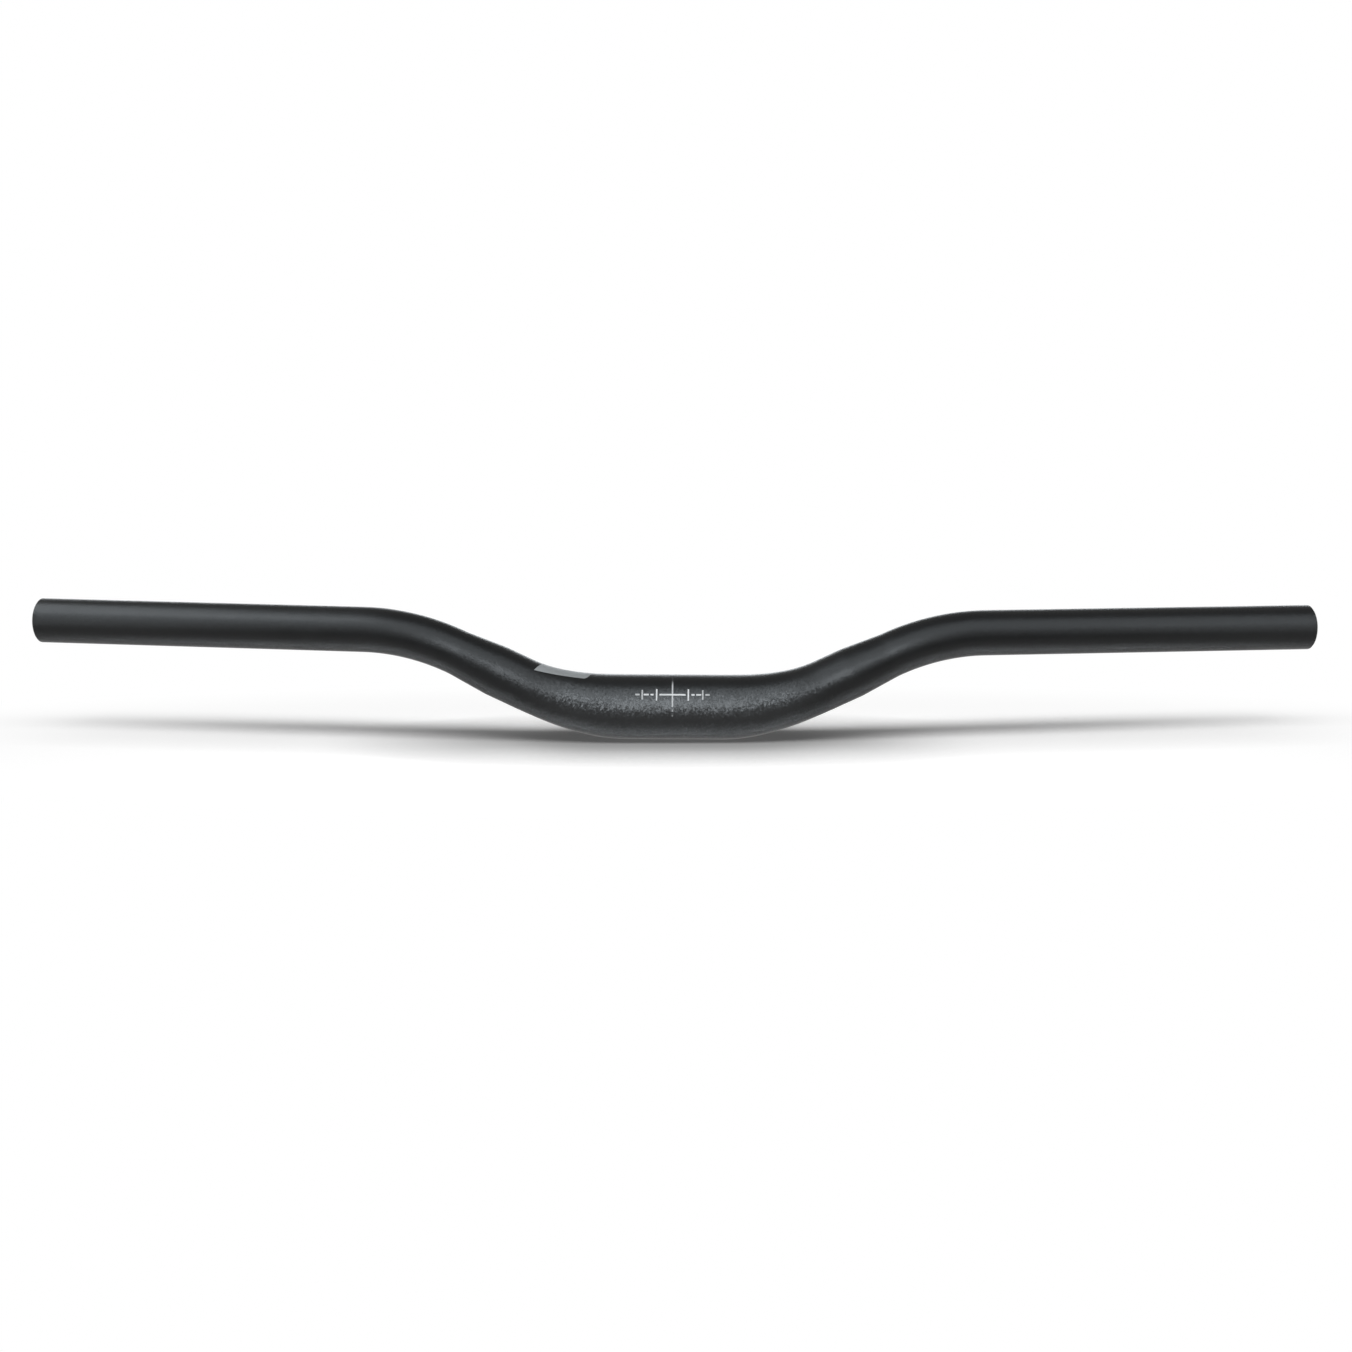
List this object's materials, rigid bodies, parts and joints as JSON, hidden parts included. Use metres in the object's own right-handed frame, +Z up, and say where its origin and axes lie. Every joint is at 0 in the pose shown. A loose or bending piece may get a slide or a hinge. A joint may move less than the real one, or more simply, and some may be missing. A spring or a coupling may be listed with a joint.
{
  "type": "mountain bike handlebar",
  "caption": "Riser handlebar: a butted aluminium tube with a thick middle that a stem clamps, tapered rises and swept-back straight ends for grips and levers.",
  "frame": {"origin": "middle of the clamp zone, on the tube's axis", "axes": "+X along the clamp axis, to the right as seen from the front; +Y back, the way the grips sweep; +Z up, the way the bar rises"},
  "size_m": [0.64, 0.0569, 0.064],
  "materials": {
    "anodised_tube": "matte"
  },
  "bodies": {
    "root": {"handlebar": "anodised_tube"}
  },
  "joints": []
}
